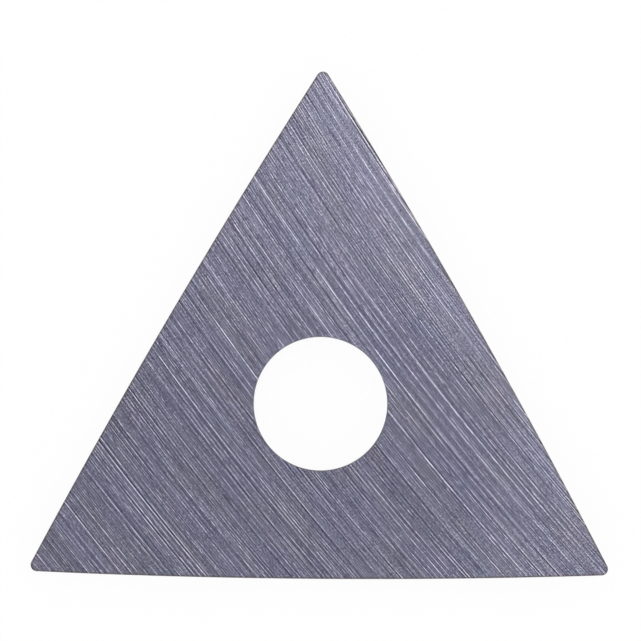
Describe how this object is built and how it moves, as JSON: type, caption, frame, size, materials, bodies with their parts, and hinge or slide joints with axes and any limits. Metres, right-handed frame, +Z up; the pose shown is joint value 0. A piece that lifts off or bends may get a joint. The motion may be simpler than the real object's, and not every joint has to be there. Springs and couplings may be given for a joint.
{
  "type": "scraper blade",
  "caption": "Flat triangular scraper blade with slightly bowed cutting edges on undercut flanks, rounded corners and a plain central hole for the clamp screw.",
  "frame": {"origin": "on the axis of the screw hole, in the smaller face, which the blade rests on", "axes": "+Z up along the screw hole, from the resting face to the cutting face; +Y to one corner of the triangle; +X along the edge opposite that corner"},
  "size_m": [0.025, 0.022, 0.0012],
  "materials": {
    "ground_carbide": "ground on both faces with long arc-shaped marks, satin, bluish grey"
  },
  "bodies": {
    "root": {"scraper_blade": "ground_carbide"}
  },
  "joints": []
}
